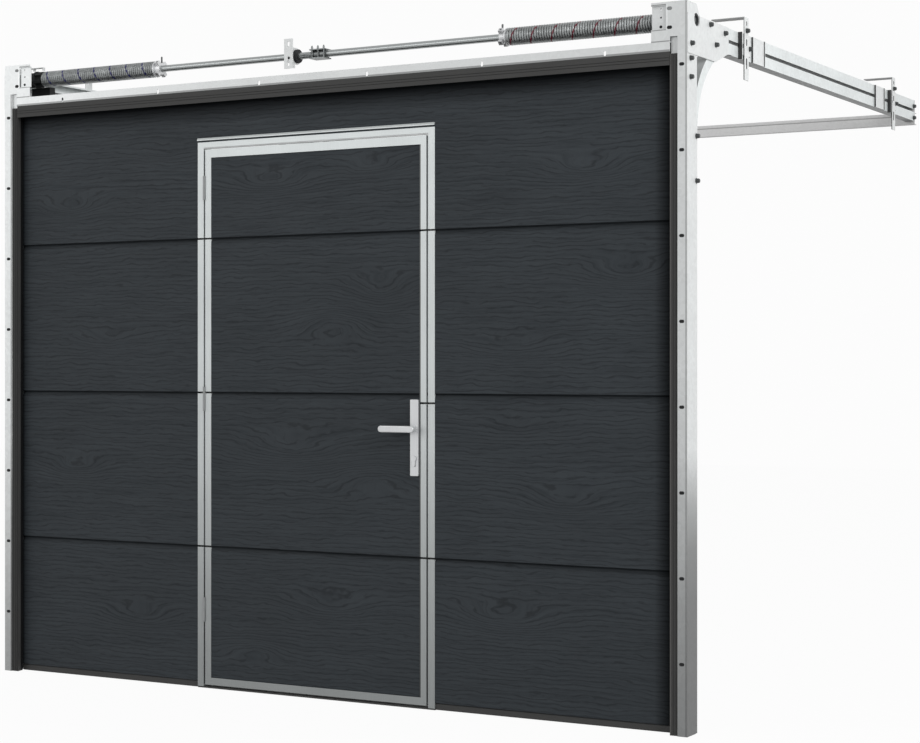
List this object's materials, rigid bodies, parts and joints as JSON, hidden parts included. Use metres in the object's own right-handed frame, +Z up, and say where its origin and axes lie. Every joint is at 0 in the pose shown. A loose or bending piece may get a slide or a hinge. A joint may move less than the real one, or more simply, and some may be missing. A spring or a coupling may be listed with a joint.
{
  "type": "sectional garage door with wicket door",
  "caption": "Sectional garage door leaf with a hinged wicket door, jambs, seals, torsion springs on a shaft and horizontal tracks.",
  "frame": {"origin": "foot of the left jamb's wall face, at floor level, on the line of its screw slots", "axes": "+X to the right along the opening seen from outside, +Y into the building along the tracks, +Z up"},
  "size_m": [2.612, 2.2385, 2.137],
  "materials": {
    "galvanised_steel": "galvanised",
    "coated_sheet": "anthracite, embossed wood grain",
    "anodised_aluminium": "satin",
    "handle_metal": "satin",
    "seal_rubber": "matt",
    "spring_steel": "oiled",
    "cast_metal": "matt",
    "cable_steel": "stranded",
    "roller_nylon": "plain"
  },
  "bodies": {
    "frame": {"bottom_seal": "seal_rubber", "cable_drums": "cast_metal", "centre_bracket": "galvanised_steel", "corner_plates": "galvanised_steel", "drip_cap": "anodised_aluminium", "end_brackets": "galvanised_steel", "end_caps": "galvanised_steel", "hoisting_cables": "cable_steel", "horizontal_rails": "galvanised_steel", "leaf_hinges": "galvanised_steel", "left_jamb": "galvanised_steel", "left_shaft": "galvanised_steel", "left_spring": "spring_steel", "lintel_strip": "galvanised_steel", "rear_crossbar": "galvanised_steel", "right_jamb": "galvanised_steel", "right_shaft": "galvanised_steel", "right_spring": "spring_steel", "roller_brackets": "galvanised_steel", "rollers": "roller_nylon", "section_1": "coated_sheet", "section_2": "coated_sheet", "section_3": "coated_sheet", "section_4": "coated_sheet", "shaft_bearings": "cast_metal", "shaft_coupling": "galvanised_steel", "side_seals": "seal_rubber", "threshold": "seal_rubber", "top_bracket_blocks": "cast_metal", "top_seal": "seal_rubber", "track_curves": "galvanised_steel", "track_hangers": "galvanised_steel", "track_splices": "galvanised_steel", "vertical_tracks": "galvanised_steel", "wicket_frame_head": "anodised_aluminium", "wicket_frame_left": "anodised_aluminium", "wicket_frame_right": "anodised_aluminium", "wicket_hinges_frame_side": "anodised_aluminium", "winding_cones": "cast_metal"},
    "wicket": {"handle_plates": "handle_metal", "lock_cylinder": "handle_metal", "wicket_hinge_stile": "anodised_aluminium", "wicket_hinges_door_side": "anodised_aluminium", "wicket_leaf_hinges": "galvanised_steel", "wicket_lock_stile": "anodised_aluminium", "wicket_panel_1": "coated_sheet", "wicket_panel_2": "coated_sheet", "wicket_panel_3": "coated_sheet", "wicket_panel_4": "coated_sheet", "wicket_rails": "anodised_aluminium"},
    "lever": {"inside_lever": "handle_metal", "outside_lever": "handle_metal", "spindle": "handle_metal"}
  },
  "joints": [
    {"name": "wicket_swing", "type": "hinge", "parent": "frame", "child": "wicket", "pos_m": [0.82425, 0.032, 0], "axis": [0, 0, -1], "range_deg": [0, 100]},
    {"name": "lever_turn", "type": "hinge", "parent": "wicket", "child": "lever", "pos_m": [1.639, 0.028, 0.871], "axis": [0, -1, 0], "range_deg": [0, 40], "stiffness_Nm_per_rad": 0.5, "springref_deg": -34.38}
  ]
}
